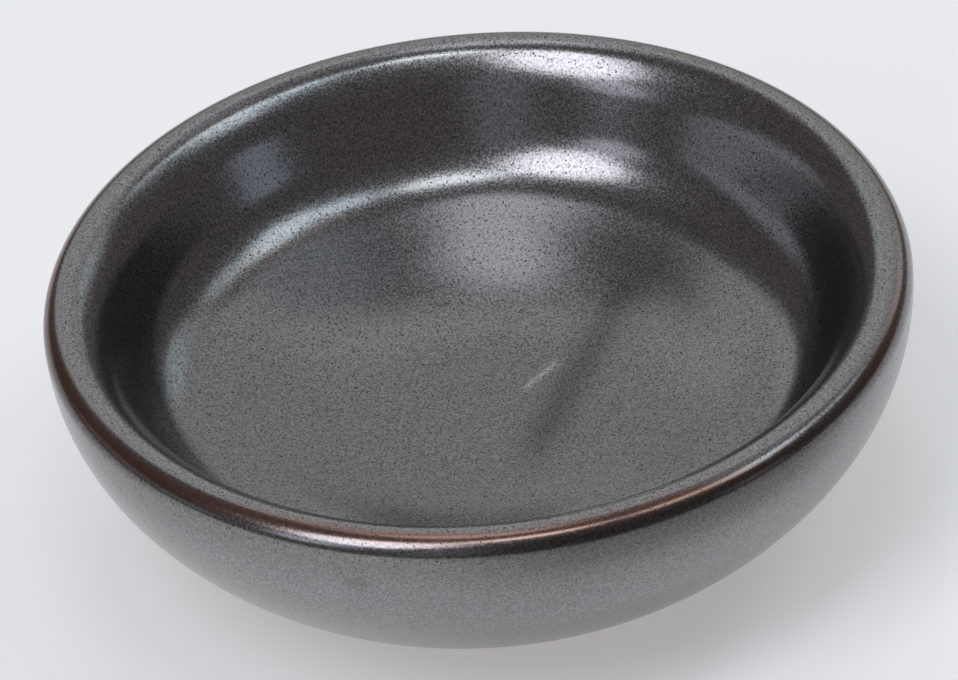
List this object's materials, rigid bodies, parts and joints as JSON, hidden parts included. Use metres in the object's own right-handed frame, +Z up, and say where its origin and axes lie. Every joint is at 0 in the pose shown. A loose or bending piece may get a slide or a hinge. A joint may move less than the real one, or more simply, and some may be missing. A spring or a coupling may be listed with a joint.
{
  "type": "soy sauce dish",
  "caption": "Small round thick-lipped stoneware sauce dish with a rounded well, a curved belly, a foot ring and a metallic glaze that breaks brown at the lip.",
  "frame": {"origin": "centre of the foot ring on the surface that the dish stands on", "axes": "+Z up along the dish's axis of revolution; X and Y are level and alike"},
  "size_m": [0.095, 0.095, 0.0308],
  "materials": {
    "fired_clay": "bare fired stoneware, fine and slightly gritty",
    "liner_glaze": "satin gunmetal glaze with fine black specks",
    "lip_glaze": "satin gunmetal glaze breaking to copper brown",
    "outer_glaze": "satin pewter-grey metallic glaze",
    "foot_well_glaze": "satin gunmetal glaze, thinner than the liner"
  },
  "bodies": {
    "root": {"stoneware_body": "fired_clay", "liner_glaze": "liner_glaze", "lip_glaze": "lip_glaze", "outer_glaze": "outer_glaze", "foot_well_glaze": "foot_well_glaze"}
  },
  "joints": []
}
